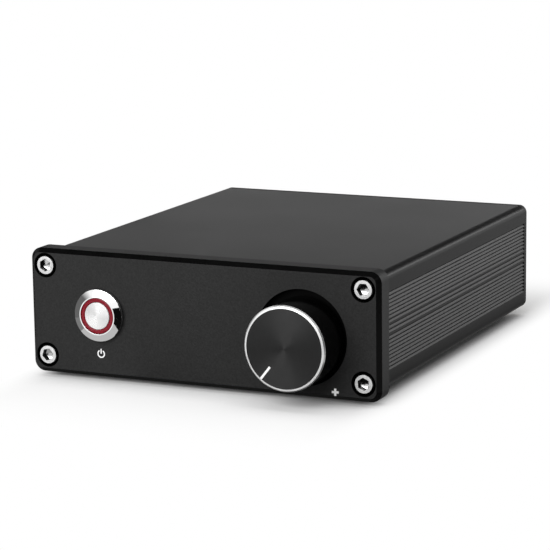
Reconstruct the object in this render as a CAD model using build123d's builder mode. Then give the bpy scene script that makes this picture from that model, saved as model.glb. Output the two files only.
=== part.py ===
"""Phono preamp in an extruded aluminium case, as separate pieces.

Millimetres, +Z up. The front panel faces -Y and +X is to the right of someone facing it.
The origin is on the table, below the middle of the whole object.
"""
import math
import os

from build123d import *

os.makedirs("parts", exist_ok=True)

# --- case -----------------------------------------------------------------------------
foot_height = 3.0
foot_radius = 5.0
foot_edge = 0.6
foot_x = 37.0
foot_front_inset = 15.0
foot_rear_inset = 13.0

shell_width = 97.0
case_height = 30.2
shell_length = 109.0
wall = 1.8
shell_corner = 2.2
case_bottom = foot_height
case_mid = case_bottom + case_height / 2

# each side wall is thicker where the two halves meet, with a tongue in a rebate
seam_level = -0.17  # the seam's height above mid case on the right, and below it on the left
seam_wall = 3.0
seam_band = 7.0
tongue_inner = 2.6  # depths below the outer side face
tongue_outer = 1.5
tongue_height = 1.6
seam_gap = 0.1
overlap = 0.1  # how far a shape runs into the next one, so that the two join

# fine grooves along both sides, as heights above mid case on the right side
groove_width = 0.9
groove_depth = 0.3
groove_pitch = 1.0
upper_grooves = [3.6 + groove_pitch * i for i in range(7)]
middle_grooves = [2.43, 1.0, seam_level, -1.73]
lower_grooves = [-2.8 - groove_pitch * i for i in range(8)]
grooves = upper_grooves + middle_grooves + lower_grooves

# --- panels and their screws ----------------------------------------------------------
panel_width = 100.0
panel_height = 33.5
panel_thick = 6.0
panel_chamfer = 1.15
panel_corner = 3.0
panel_rise = 1.5  # how far the panel stands above the case's top
rear_thick = 2.0

screw_x = 45.4
screw_z = 12.1
screw_radius = 1.5
screw_length = 10.0
screw_head_radius = 2.65
screw_head_height = 3.0
screw_head_edge = 0.3
screw_hex = 3.0
screw_hex_depth = 2.1
screw_hex_turns = (12.0, 30.0, 35.0, 0.0)  # bottom left, top left, bottom right, top right
counterbore_radius = 3.2
counterbore_depth = 2.9
screw_clearance = 1.65
channel_radius = 1.55
boss_radius = 2.3
button_head_height = 1.7
button_head_edge = 0.9
button_hex = 2.0
button_hex_depth = 1.0

# --- volume knob ----------------------------------------------------------------------
knob_x = 28.8
knob_z = 16.1
knob_proud = 11.6
knob_radius = 11.1
knob_bevel_width = 0.8
knob_bevel_depth = 0.55
knob_back_edge = 0.3
knob_gap = 0.5
knob_skirt_radius = 6.8
knob_skirt_depth = 3.3
knob_bore_depth = 10.4
pocket_radius = 12.45
pocket_shift = (-0.4, 0.5)  # from the knob's axis
pocket_depth = 2.0
pointer_angle = 38.5  # from straight down towards the left, at the volume's lowest
pointer_inner = 6.2
pointer_width = 0.6
pointer_depth = 0.3
pointer_sunk = 0.02
set_screw_radius = 1.5
set_screw_length = 4.0
set_screw_hex = 1.5
set_screw_hex_depth = 2.0
set_screw_back = 6.1  # behind the knob's face

# --- potentiometer --------------------------------------------------------------------
shaft_radius = 3.0
shaft_flat = 2.25
shaft_flat_length = 7.6
shaft_chamfer = 0.5
shaft_proud = 8.8  # in front of the front panel's face
running_gap = 0.05
bushing_radius = 3.5
bushing_proud = 1.0
bushing_plate = 1.0
pot_width = 9.8
pot_height = 11.2
pot_depth = 9.0
pot_corner = 0.6
pot_axis_height = 6.5
pot_stand_off = 0.2
pot_rotor_radius = 3.6
pot_rotor_length = 1.0
pot_journal_radius = 1.5
pot_rear_wall = 1.5
pot_pin_pitch = 2.5
pot_pin_radius = 0.4
pot_pin_rows = (2.7, 6.75)
nut_flats = 10.0
nut_height = 2.0
washer_radius = 5.0
washer_thick = 0.5

# --- power button ---------------------------------------------------------------------
button_x = -29.28
button_z = 18.05
bezel_radius = 6.97
bezel_proud = 1.85
bezel_edge = 0.75
bezel_break = 0.1
bezel_lip_radius = 5.15
barrel_radius = 6.0
barrel_back = 16.0  # behind the panel's face
seal_thick = 0.5
seal_inner = 6.1
seal_inset = 0.15
ring_outer = 4.78
ring_inner = 3.68
ring_sunk = 0.1
ring_length = 6.5
cap_radius = 3.61
cap_sunk = 0.05
cap_length = 4.75
cap_edge = 0.3
plunger_radius = 1.5
plunger_length = 10.0
base_radius = 5.4
base_plug_radius = 4.7
base_length = 6.0
base_bore = 1.6
base_floor = 1.5
base_collar = 3.0
base_gap = 0.3
light_board_inner = 2.9
light_board_thick = 0.6
light_circle = 3.9
light_count = 4
light_width = 0.8
light_length = 1.4
light_height = 0.6
spring_radius = 2.4
spring_wire = 0.35
spring_turns = 5
button_nut_flats = 14.0
button_nut_height = 2.6
terminal_offset = 2.5
terminal_length = 5.5
terminal_width = 1.6
terminal_thick = 0.5

# --- circuit board --------------------------------------------------------------------
board_width = 92.0
board_thick = 1.6
board_top = knob_z - pot_axis_height
board_front_gap = 0.5
board_rear_gap = 0.5
slot_gap = 0.1
slot_depth = 1.9
rail_thick = 1.2
pin_hole = 0.6
pin_reach = 1.3  # how far pins come through the board

# --- lead plug and its header on the board --------------------------------------------
header_pitch = 2.5
header_y = 0.0
header_depth = 8.0
header_width = 14.0
header_height = 7.25
header_mouth_depth = 6.5
header_pin_hole = 0.7
header_pin_length = 7.0
plug_width = 12.3
plug_length = 12.4
plug_height = 5.6
plug_lift = 0.75
plug_entry = 6.4
plug_gap = 0.1
plug_hole = 1.0
pin_side = 0.64
lead_radius = 0.6
lead_straight = 7.0
lead_bend_share = 0.45  # of the shorter run beside a bend, taken up by the bend

# --- parts on the board, their places as (x, y) ---------------------------------------
large_can_places = [(x, y) for x in (-38.5, -25.5) for y in (20.0, 33.0)]
large_can_radius = 5.0
large_can_height = 16.0
small_can_places = [(x, y) for x in (-6.0, 5.0) for y in (-14.0, -4.0)]
small_can_radius = 3.15
small_can_height = 11.0
can_neck_start = 1.2
can_neck_end = 2.2
can_neck_depth = 0.35
can_edge = 0.5
film_places = [(38.0, -24.0 + 8.0 * i) for i in range(6)]
film_width = 7.2
film_thick = 2.5
film_height = 6.5
resistor_places = [(4.0, 10.0 + 4.0 * i) for i in range(6)] + [(36.0, 26.0 + 4.0 * i) for i in range(4)]
resistor_length = 6.6
resistor_radius = 1.25
resistor_lift = 0.05
chip_places = [(22.0, -6.0), (22.0, 14.0)]
socket_side = 10.2
socket_height = 4.4
socket_slot_width = 7.0
socket_slot_depth = 3.6
chip_width = 9.6
chip_depth = 6.4
chip_height = 3.4
chip_notch_radius = 0.8
chip_notch_depth = 0.5
sink_x = -12.0
sink_y = 26.0
sink_width = 15.0
sink_thick = 2.5
sink_height = 16.0
fin_count = 5
fin_pitch = 3.0
fin_thick = 1.2
fin_depth = 8.0
regulator_width = 10.0
regulator_height = 9.0
regulator_thick = 4.4
regulator_lift = 5.0
regulator_tab_height = 1.5
regulator_tab_thick = 1.3
regulator_leg_pitch = 2.54
regulator_leg_width = 0.8
regulator_leg_thick = 0.5
regulator_leg_out = 2.0
choke_place = (-12.0, 8.0)
choke_radius = 5.0
choke_core_radius = 4.2
choke_height = 7.0
choke_flange = 1.2

# --- rear connectors ------------------------------------------------------------------
jack_proud = 8.6
jack_z = board_top + 8.5
input_jacks = (34.0, 20.0)
output_jacks = (-5.0, -19.0)
jack_shell_outer = 4.15
jack_shell_inner = 3.55
jack_shell_depth = 4.0  # inside the rear panel
jack_shell_edge = 0.3
jack_root_radius = 3.9
jack_root_proud = 0.3
jack_nose_radius = 5.0
jack_nose_proud = 1.0
jack_bore = 3.95
jack_insulator_radius = 3.5
jack_insulator_sunk = 1.4
jack_insulator_depth = 3.0
jack_hole = 2.05
contact_outer = 2.0
contact_inner = 1.65
contact_sunk = 1.0
contact_length = 9.5
contact_floor = 1.0
contact_stem_radius = 0.6
tail_width = 1.2
tail_thick = 0.5
tail_inset = 7.0
housing_width = 27.0
housing_depth = 12.0
housing_height = 16.0
supply_x = -34.0
supply_z = board_top + 6.5
supply_nose_radius = 4.0
supply_bore = 3.15
supply_pin_radius = 1.05
supply_pin_sunk = 0.8
supply_pin_edge = 0.5
supply_depth = 10.5
supply_width = 9.0
supply_length = 14.0
supply_height = 11.0
supply_contact_width = 1.6
supply_contact_length = 7.0
supply_contact_thick = 0.35
supply_contact_lift = 0.12
supply_contact_inset = 0.5
ground_x = 8.0
ground_stud_radius = 1.95
ground_stud_depth = 5.0
ground_stud_sunk = 0.1
ground_stud_edge = 0.5
ground_flange_radius = 4.4
ground_flange_thick = 1.5
ground_washer_gap = 0.1
ground_washer_thick = 0.8
ground_washer_inset = 0.2
thumb_radius = 4.5
thumb_length = 5.0
thumb_ribs = 24
thumb_rib_depth = 0.35
thumb_chamfer = 0.5
ground_nut_flats = 7.0
ground_nut_height = 3.2
tag_thick = 0.6
tag_radius = 3.5
tag_width = 2.2
tag_length = 8.0
ground_lead_rise = 6.5
ground_lead_run = 14.0

# --- places along Y, worked out from the sizes above ----------------------------------
overall_depth = knob_proud + panel_thick + shell_length + rear_thick + jack_proud
knob_face_y = -overall_depth / 2
panel_y = knob_face_y + knob_proud
shell_front_y = panel_y + panel_thick
shell_rear_y = shell_front_y + shell_length
rear_y = shell_rear_y + rear_thick
jack_tip_y = overall_depth / 2
panel_mid = case_mid + case_height / 2 + panel_rise - panel_height / 2
board_bottom = board_top - board_thick
board_front_y = shell_front_y + board_front_gap
board_rear_y = shell_rear_y - board_rear_gap
pocket_floor_y = panel_y + pocket_depth
screw_places = [(sx * screw_x, case_mid + sz * screw_z) for sx in (-1, 1) for sz in (-1, 1)]


def across(y):
    """The XZ plane at depth y. A positive extrusion from it comes forward, to -Y."""
    return Plane.XZ.offset(-y)


def level(z):
    """The horizontal plane at height z."""
    return Plane.XY.offset(z)


def facing(x, y, z):
    """A plane through a point, facing forward, with X to the right and Z up."""
    return Plane(origin=(x, y, z), z_dir=(0, -1, 0), x_dir=(1, 0, 0))


def turning_plane(x, z):
    """A plane through an axis along Y, with radius as local x and depth as local y."""
    return Plane(origin=(x, 0, z))


def turning_axis(x, z):
    return Axis((x, 0, z), (0, 1, 0))


def finish(name, piece):
    piece.part.label = name
    export_step(piece.part, f"parts/{name}.step")


def turned(x, z, profile):
    """A body turned about an axis along Y, from an outline of (radius, y) points."""
    with BuildPart() as body:
        with BuildSketch(turning_plane(x, z)):
            with BuildLine():
                Polyline(*profile, close=True)
            make_face()
        revolve(axis=turning_axis(x, z))
    return body


def tube(x, z, outer, inner, front, back):
    return turned(x, z, [(inner, front), (outer, front), (outer, back), (inner, back)])


# === case =============================================================================
half_width = shell_width / 2

with BuildPart() as bottom_shell:
    slot_bottom = board_bottom - slot_gap - case_mid
    slot_top = board_top + slot_gap - case_mid
    inner_x = half_width - wall
    with BuildSketch(facing(0, shell_front_y, case_mid)):
        RectangleRounded(shell_width, case_height, shell_corner)
        Rectangle(shell_width - 2 * wall, case_height - 2 * wall, mode=Mode.SUBTRACT)
        for side in (-1, 1):
            # the thick band at the seam
            with Locations((side * (half_width - seam_wall / 2), 0)):
                Rectangle(seam_wall, seam_band)
            # the screw channel in the corner, flat on top to carry the board
            with Locations((side * screw_x, -screw_z)):
                Circle(boss_radius)
            with Locations((side * screw_x, slot_bottom + boss_radius)):
                Rectangle(3 * boss_radius, 2 * boss_radius, mode=Mode.SUBTRACT)
            with Locations((side * (half_width - wall / 2), slot_bottom + boss_radius)):
                Rectangle(wall, 4 * boss_radius)
            # the rail above the board
            with Locations((side * (inner_x - slot_depth / 2), slot_top + rail_thick / 2)):
                Rectangle(slot_depth, rail_thick)
            with Locations((side * screw_x, -screw_z)):
                Circle(channel_radius, mode=Mode.SUBTRACT)
            # everything above the seam goes, apart from the tongue on the right
            with Locations((side * half_width / 2, side * seam_level + case_height / 2)):
                Rectangle(half_width + 2 * overlap, case_height, mode=Mode.SUBTRACT)
        tongue_x = half_width - (tongue_inner + tongue_outer) / 2
        with Locations((tongue_x, seam_level + tongue_height / 2 - overlap)):
            Rectangle(tongue_inner - tongue_outer, tongue_height + 2 * overlap)
        rebate_width = seam_wall - tongue_outer + 2 * seam_gap
        rebate_height = tongue_height + seam_gap
        with Locations(
            (-half_width + tongue_outer - seam_gap + rebate_width / 2, -seam_level - rebate_height / 2)
        ):
            Rectangle(rebate_width, rebate_height, mode=Mode.SUBTRACT)
        for groove in grooves:
            for side in (-1, 1):
                Polygon(
                    (side * (half_width + groove_depth), side * groove + groove_width),
                    (side * (half_width - groove_depth), side * groove),
                    (side * (half_width + groove_depth), side * groove - groove_width),
                    align=None,
                    mode=Mode.SUBTRACT,
                )
    extrude(amount=-shell_length)
finish("bottom_shell", bottom_shell)

# the same extrusion, turned over
with BuildPart() as top_shell:
    add(bottom_shell.part.rotate(Axis((0, 0, case_mid), (0, 1, 0)), 180))
finish("top_shell", top_shell)

with BuildPart() as front_panel:
    with BuildSketch(across(panel_y)):
        with Locations((0, panel_mid)):
            RectangleRounded(panel_width, panel_height, panel_corner)
    extrude(amount=-panel_thick)
    chamfer(front_panel.faces().sort_by(Axis.Y)[0].edges(), length=panel_chamfer)
    with BuildSketch(across(panel_y)):
        with Locations(*screw_places):
            Circle(counterbore_radius)
    extrude(amount=-counterbore_depth, mode=Mode.SUBTRACT)
    with BuildSketch(across(panel_y)):
        with Locations((knob_x + pocket_shift[0], knob_z + pocket_shift[1])):
            Circle(pocket_radius)
    extrude(amount=-pocket_depth, mode=Mode.SUBTRACT)
    with BuildSketch(across(panel_y)):
        with Locations(*screw_places):
            Circle(screw_clearance)
        with Locations((knob_x, knob_z)):
            Circle(bushing_radius + 2 * running_gap)
        with Locations((button_x, button_z)):
            Circle(barrel_radius + 2 * running_gap)
    extrude(amount=-panel_thick, mode=Mode.SUBTRACT)
finish("front_panel", front_panel)

with BuildPart() as rear_panel:
    with BuildSketch(across(shell_rear_y)):
        with Locations((0, case_mid)):
            RectangleRounded(shell_width, case_height, shell_corner)
        with Locations(*screw_places):
            Circle(screw_clearance, mode=Mode.SUBTRACT)
        with Locations(*[(x, jack_z) for x in input_jacks + output_jacks]):
            Circle(jack_nose_radius + running_gap, mode=Mode.SUBTRACT)
        with Locations((supply_x, supply_z)):
            Circle(supply_nose_radius + running_gap, mode=Mode.SUBTRACT)
        with Locations((ground_x, jack_z)):
            Circle(ground_stud_radius + 2 * running_gap, mode=Mode.SUBTRACT)
    extrude(amount=-rear_thick)
finish("rear_panel", rear_panel)

with BuildPart() as front_screws:
    head_y = panel_y + counterbore_depth - screw_head_height
    seat_y = panel_y + counterbore_depth
    with BuildSketch(across(seat_y)):
        with Locations(*screw_places):
            Circle(screw_head_radius)
    extrude(amount=screw_head_height)
    chamfer(front_screws.faces().group_by(Axis.Y)[0].edges(), length=screw_head_edge)
    with BuildSketch(across(seat_y)):
        with Locations(*screw_places):
            Circle(screw_radius)
    extrude(amount=-screw_length)
    with BuildSketch(across(head_y)):
        for place, turn in zip(screw_places, screw_hex_turns):
            with Locations(place):
                RegularPolygon(screw_hex / 2, 6, major_radius=False, rotation=turn)
    extrude(amount=-screw_hex_depth, mode=Mode.SUBTRACT)
finish("front_screws", front_screws)

with BuildPart() as rear_screws:
    with BuildSketch(across(rear_y)):
        with Locations(*screw_places):
            Circle(screw_head_radius)
    extrude(amount=-button_head_height)
    chamfer(rear_screws.faces().group_by(Axis.Y)[-1].edges(), length=button_head_edge)
    with BuildSketch(across(rear_y)):
        with Locations(*screw_places):
            Circle(screw_radius)
    extrude(amount=screw_length)
    with BuildSketch(across(rear_y + button_head_height)):
        with Locations(*screw_places):
            RegularPolygon(button_hex / 2, 6, major_radius=False)
    extrude(amount=button_hex_depth, mode=Mode.SUBTRACT)
finish("rear_screws", rear_screws)

foot_ys = (panel_y + foot_front_inset, rear_y - foot_rear_inset)
with BuildPart() as feet:
    with BuildSketch():
        with Locations(*[(side * foot_x, y) for side in (-1, 1) for y in foot_ys]):
            Circle(foot_radius)
    extrude(amount=foot_height)
    fillet(feet.faces().group_by(Axis.Z)[0].edges(), radius=foot_edge)
finish("feet", feet)

# === volume knob and potentiometer ====================================================
knob_back_y = pocket_floor_y - knob_gap
skirt_floor_y = knob_back_y - knob_skirt_depth
pointer_turn = math.radians(pointer_angle)
pointer_way = Vector(-math.sin(pointer_turn), 0, -math.cos(pointer_turn))
set_screw_y = knob_face_y + set_screw_back
set_screw_plane = Plane(origin=(knob_x, set_screw_y, knob_z), x_dir=(0, 1, 0), z_dir=pointer_way)
knob_face_plane = Plane(origin=(knob_x, knob_face_y, knob_z), x_dir=pointer_way, z_dir=(0, -1, 0))
pointer_outer = knob_radius - knob_bevel_width
pointer_middle = (pointer_inner + pointer_outer) / 2

with BuildPart() as knob:
    with BuildSketch(turning_plane(knob_x, knob_z)):
        with BuildLine():
            Polyline(
                (0, knob_face_y),
                (knob_radius - knob_bevel_width, knob_face_y),
                (knob_radius, knob_face_y + knob_bevel_depth),
                (knob_radius, knob_back_y - knob_back_edge),
                (knob_radius - knob_back_edge, knob_back_y),
                (knob_skirt_radius, knob_back_y),
                (knob_skirt_radius, skirt_floor_y),
                (shaft_radius + running_gap, skirt_floor_y),
                (shaft_radius + running_gap, knob_back_y - knob_bore_depth),
                (0, knob_back_y - knob_bore_depth),
                close=True,
            )
        make_face()
    revolve(axis=turning_axis(knob_x, knob_z))
    with BuildSketch(knob_face_plane):
        with Locations((pointer_middle, 0)):
            Rectangle(pointer_outer - pointer_inner, pointer_width)
    extrude(amount=-pointer_depth, mode=Mode.SUBTRACT)
    with BuildSketch(set_screw_plane):
        Circle(set_screw_radius + running_gap)
    extrude(amount=knob_radius + overlap, mode=Mode.SUBTRACT)
finish("knob", knob)

with BuildPart() as knob_pointer:
    with BuildSketch(knob_face_plane.offset(-pointer_depth)):
        with Locations((pointer_middle, 0)):
            Rectangle(pointer_outer - pointer_inner, pointer_width)
    extrude(amount=pointer_depth - pointer_sunk)
finish("knob_pointer", knob_pointer)

with BuildPart() as knob_set_screw:
    with BuildSketch(set_screw_plane.offset(shaft_flat)):
        Circle(set_screw_radius)
    extrude(amount=set_screw_length)
    with BuildSketch(set_screw_plane.offset(shaft_flat + set_screw_length)):
        RegularPolygon(set_screw_hex / 2, 6, major_radius=False)
    extrude(amount=-set_screw_hex_depth, mode=Mode.SUBTRACT)
finish("knob_set_screw", knob_set_screw)

rotor_front_y = shell_front_y + bushing_plate + running_gap
rotor_back_y = rotor_front_y + pot_rotor_length
pot_front_y = shell_front_y + bushing_plate
pot_back_y = pot_front_y + pot_depth
shaft_tip_y = panel_y - shaft_proud
journal_end_y = pot_back_y - pot_rear_wall
with BuildPart() as pot_shaft:
    with BuildSketch(turning_plane(knob_x, knob_z)):
        with BuildLine():
            Polyline(
                (0, shaft_tip_y),
                (shaft_radius - shaft_chamfer, shaft_tip_y),
                (shaft_radius, shaft_tip_y + shaft_chamfer),
                (shaft_radius, rotor_front_y),
                (pot_rotor_radius, rotor_front_y),
                (pot_rotor_radius, rotor_back_y),
                (pot_journal_radius, rotor_back_y),
                (pot_journal_radius, journal_end_y - running_gap),
                (0, journal_end_y - running_gap),
                close=True,
            )
        make_face()
    revolve(axis=turning_axis(knob_x, knob_z))
    # the flat under the set screw, from the shaft's tip
    with BuildSketch(set_screw_plane.offset(shaft_flat)):
        with Locations((shaft_tip_y + (shaft_flat_length - overlap) / 2 - set_screw_y, 0)):
            Rectangle(shaft_flat_length + overlap, 2 * shaft_radius)
    extrude(amount=shaft_radius, mode=Mode.SUBTRACT)
finish("pot_shaft", pot_shaft)

pot_mid_z = board_top + pot_stand_off + pot_height / 2
with BuildPart() as pot_bushing:
    with BuildSketch(across(shell_front_y)):
        with Locations((knob_x, pot_mid_z)):
            Rectangle(pot_width, pot_height)
    extrude(amount=-bushing_plate)
    with BuildSketch(across(shell_front_y)):
        with Locations((knob_x, knob_z)):
            Circle(bushing_radius)
    extrude(amount=panel_thick + bushing_proud)
    with BuildSketch(across(pot_front_y)):
        with Locations((knob_x, knob_z)):
            Circle(shaft_radius + running_gap)
    extrude(amount=bushing_plate + panel_thick + bushing_proud, mode=Mode.SUBTRACT)
finish("pot_bushing", pot_bushing)

with BuildPart() as pot_body:
    with BuildSketch(across(pot_front_y)):
        with Locations((knob_x, pot_mid_z)):
            RectangleRounded(pot_width, pot_height, pot_corner)
    extrude(amount=-pot_depth)
    with BuildSketch(across(pot_front_y)):
        with Locations((knob_x, knob_z)):
            Circle(pot_rotor_radius + 2 * running_gap)
    extrude(amount=-(pot_rotor_length + 3 * running_gap), mode=Mode.SUBTRACT)
    with BuildSketch(across(pot_front_y)):
        with Locations((knob_x, knob_z)):
            Circle(pot_journal_radius + running_gap)
    extrude(amount=-(journal_end_y - pot_front_y), mode=Mode.SUBTRACT)
finish("pot_body", pot_body)

pot_pin_places = [
    (knob_x + i * pot_pin_pitch, pot_front_y + row)
    for i in (-1, 0, 1)
    for row in pot_pin_rows
]
with BuildPart() as pot_terminals:
    with BuildSketch(level(board_bottom - pin_reach)):
        with Locations(*pot_pin_places):
            Circle(pot_pin_radius)
    extrude(amount=board_thick + pin_reach + pot_stand_off)
finish("pot_terminals", pot_terminals)

washer_front_y = pocket_floor_y - washer_thick
pot_washer = tube(
    knob_x, knob_z, washer_radius, bushing_radius + running_gap, washer_front_y, pocket_floor_y
)
finish("pot_washer", pot_washer)

with BuildPart() as pot_nut:
    with BuildSketch(across(washer_front_y)):
        with Locations((knob_x, knob_z)):
            RegularPolygon(nut_flats / 2, 6, major_radius=False)
            Circle(bushing_radius + running_gap, mode=Mode.SUBTRACT)
    extrude(amount=nut_height)
finish("pot_nut", pot_nut)

# === power button =====================================================================
bezel_back_y = panel_y - seal_thick
lip_y = panel_y - bezel_proud
barrel_end_y = panel_y + barrel_back
ring_front_y = lip_y + ring_sunk
ring_back_y = ring_front_y + ring_length
cap_front_y = lip_y + cap_sunk
cap_back_y = cap_front_y + cap_length
base_plug_y = barrel_end_y - base_length
base_end_y = barrel_end_y + base_length
collar_y = base_plug_y - base_collar
light_board_y = collar_y - light_board_thick

button_housing = turned(
    button_x,
    button_z,
    [
        (ring_outer + running_gap, lip_y),
        (bezel_lip_radius, lip_y),
        (bezel_radius - bezel_break, bezel_back_y - bezel_edge),
        (bezel_radius, bezel_back_y - bezel_edge + bezel_break),
        (bezel_radius, bezel_back_y),
        (barrel_radius, bezel_back_y),
        (barrel_radius, barrel_end_y),
        (ring_outer + running_gap, barrel_end_y),
    ],
)
finish("button_housing", button_housing)

button_seal = tube(button_x, button_z, bezel_radius - seal_inset, seal_inner, bezel_back_y, panel_y)
finish("button_seal", button_seal)

button_light_ring = tube(button_x, button_z, ring_outer, ring_inner, ring_front_y, ring_back_y)
finish("button_light_ring", button_light_ring)

button_cap = turned(
    button_x,
    button_z,
    [
        (0, cap_front_y),
        (cap_radius - cap_edge, cap_front_y),
        (cap_radius, cap_front_y + cap_edge),
        (cap_radius, cap_back_y),
        (0, cap_back_y),
    ],
)
finish("button_cap", button_cap)

with BuildPart() as button_plunger:
    with BuildSketch(across(cap_back_y)):
        with Locations((button_x, button_z)):
            Circle(plunger_radius)
    extrude(amount=-plunger_length)
finish("button_plunger", button_plunger)

with BuildPart() as button_spring:
    spring_front_y = cap_back_y + spring_wire
    spring_back_y = base_plug_y - spring_wire
    spring_length = spring_back_y - spring_front_y
    # the coil is drawn along Z from the origin, then laid along Y
    with BuildLine() as coil:
        Helix(pitch=spring_length / spring_turns, height=spring_length, radius=spring_radius)
    with BuildSketch(Plane(origin=coil.line @ 0, z_dir=coil.line % 0)):
        Circle(spring_wire / 2)
    sweep(path=coil.line, is_frenet=True)
button_spring.part = button_spring.part.rotate(Axis.X, -90)
button_spring.part = button_spring.part.translate((button_x, spring_front_y, button_z))
finish("button_spring", button_spring)

button_base = turned(
    button_x,
    button_z,
    [
        (base_bore, base_plug_y),
        (ring_inner - base_gap, base_plug_y),
        (ring_inner - base_gap, collar_y),
        (base_plug_radius, collar_y),
        (base_plug_radius, barrel_end_y),
        (base_radius, barrel_end_y),
        (base_radius, base_end_y),
        (0, base_end_y),
        (0, base_end_y - base_floor),
        (base_bore, base_end_y - base_floor),
    ],
)
finish("button_base", button_base)

button_light_board = tube(
    button_x, button_z, base_plug_radius, light_board_inner, light_board_y, collar_y
)
finish("button_light_board", button_light_board)

with BuildPart() as button_lights:
    with BuildSketch(across(light_board_y)):
        with Locations((button_x, button_z)):
            with PolarLocations(light_circle, light_count):
                Rectangle(light_width, light_length)
    extrude(amount=light_height)
finish("button_lights", button_lights)

with BuildPart() as button_nut:
    with BuildSketch(across(shell_front_y)):
        with Locations((button_x, button_z)):
            RegularPolygon(button_nut_flats / 2, 6, major_radius=False, rotation=30)
            Circle(barrel_radius + running_gap, mode=Mode.SUBTRACT)
    extrude(amount=-button_nut_height)
finish("button_nut", button_nut)

terminal_corners = ((-1, 1), (-1, -1), (1, -1), (1, 1))
terminal_places = [
    (button_x + sx * terminal_offset, button_z + sz * terminal_offset) for sx, sz in terminal_corners
]
terminal_end_y = base_end_y + terminal_length
with BuildPart() as button_terminals:
    with BuildSketch(across(base_end_y)):
        with Locations(*terminal_places):
            Rectangle(terminal_width, terminal_thick)
    extrude(amount=-terminal_length)
finish("button_terminals", button_terminals)

# === lead plug and its header on the board ============================================
plug_seat = board_top + plug_lift
plug_z = plug_seat + plug_height / 2
plug_back_y = header_y + plug_entry
plug_front_y = plug_back_y - plug_length
lead_xs = [button_x + i * header_pitch for i in (-1.5, -0.5, 0.5, 1.5)]

with BuildPart() as lead_plug:
    with BuildSketch(level(plug_seat)):
        with Locations((button_x, (plug_front_y + plug_back_y) / 2)):
            Rectangle(plug_width, plug_length)
    extrude(amount=plug_height)
    with BuildSketch(across(plug_back_y)):
        with Locations(*[(x, plug_z) for x in lead_xs]):
            Rectangle(plug_hole, plug_hole)
    extrude(amount=plug_length / 2, mode=Mode.SUBTRACT)
finish("lead_plug", lead_plug)

with BuildPart() as board_header:
    with BuildSketch(level(board_top)):
        with Locations((button_x, header_y + header_depth / 2)):
            Rectangle(header_width, header_depth)
    extrude(amount=header_height)
    with BuildSketch(across(header_y)):
        with Locations((button_x, plug_z + plug_gap / 2)):
            Rectangle(plug_width + 2 * plug_gap, plug_height + plug_gap)
    extrude(amount=-header_mouth_depth, mode=Mode.SUBTRACT)
    with BuildSketch(across(header_y)):
        with Locations(*[(x, plug_z) for x in lead_xs]):
            Rectangle(header_pin_hole, header_pin_hole)
    extrude(amount=-header_depth, mode=Mode.SUBTRACT)
finish("board_header", board_header)

header_pin_y = header_y + header_depth + pin_side / 2
with BuildPart() as header_pins:
    with BuildSketch(across(header_y + header_depth + pin_side)):
        with Locations(*[(x, plug_z) for x in lead_xs]):
            Rectangle(pin_side, pin_side)
    extrude(amount=header_pin_length)
    with BuildSketch(level(board_bottom - pin_reach)):
        with Locations(*[(x, header_pin_y) for x in lead_xs]):
            Rectangle(pin_side, pin_side)
    extrude(amount=plug_z + pin_side / 2 - board_bottom + pin_reach)
finish("header_pins", header_pins)


def bent_lead(points):
    """A round lead along straight runs joined by arcs as large as the runs allow."""
    corners = [Vector(*point) for point in points]
    radii = []
    for before, corner, after in zip(corners, corners[1:], corners[2:]):
        turn = (corner - before).get_angle(after - corner)
        shorter = min((corner - before).length, (after - corner).length)
        radii.append(lead_bend_share * shorter / math.tan(math.radians(turn / 2)))
    print("lead radii", [round(radius, 1) for radius in radii])
    with BuildPart() as lead:
        with BuildLine() as route:
            FilletPolyline(*corners, radius=radii)
        with BuildSketch(Plane(origin=corners[0], z_dir=corners[1] - corners[0])):
            Circle(lead_radius)
        sweep(path=route.line)
    return lead


# the outer two leads feed the light, and the inner two are switched
lead_ends = {"red": (0, 3), "black": (1, 2)}
for colour, members in lead_ends.items():
    with BuildPart() as leads:
        for member in members:
            start_x, start_z = terminal_places[member]
            end_x = lead_xs[member]
            lead = bent_lead(
                [
                    (start_x, terminal_end_y, start_z),
                    (start_x, terminal_end_y + lead_straight, start_z),
                    (end_x, plug_front_y - lead_straight, plug_z),
                    (end_x, plug_front_y, plug_z),
                ]
            )
            add(lead.part)
    finish(f"button_leads_{colour}", leads)

# === circuit board and its parts ======================================================
jack_tail_y = shell_rear_y - tail_inset
tail_places = [(x, jack_tail_y) for x in input_jacks + output_jacks]

with BuildPart() as main_board:
    with BuildSketch(level(board_bottom)):
        with Locations((0, (board_front_y + board_rear_y) / 2)):
            Rectangle(board_width, board_rear_y - board_front_y)
        with Locations(*pot_pin_places):
            Circle(pin_hole, mode=Mode.SUBTRACT)
        with Locations(*[(x, header_pin_y) for x in lead_xs]):
            Circle(pin_hole, mode=Mode.SUBTRACT)
        with Locations(*tail_places):
            Circle(2 * pin_hole, mode=Mode.SUBTRACT)
    extrude(amount=board_thick)
finish("main_board", main_board)

can_sizes = [(place, large_can_radius, large_can_height) for place in large_can_places]
can_sizes += [(place, small_can_radius, small_can_height) for place in small_can_places]
with BuildPart() as electrolytic_capacitors:
    for (x, y), radius, height in can_sizes:
        with BuildSketch(facing(x, y, board_top)):
            with BuildLine():
                Polyline(
                    (0, 0),
                    (radius, 0),
                    (radius, can_neck_start),
                    (radius - can_neck_depth, (can_neck_start + can_neck_end) / 2),
                    (radius, can_neck_end),
                    (radius, height - can_edge),
                    (radius - can_edge, height),
                    (0, height),
                    close=True,
                )
            make_face()
        revolve(axis=Axis((x, y, 0), (0, 0, 1)))
finish("electrolytic_capacitors", electrolytic_capacitors)

with BuildPart() as film_capacitors:
    with BuildSketch(level(board_top)):
        with Locations(*film_places):
            Rectangle(film_width, film_thick)
    extrude(amount=film_height)
finish("film_capacitors", film_capacitors)

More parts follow.
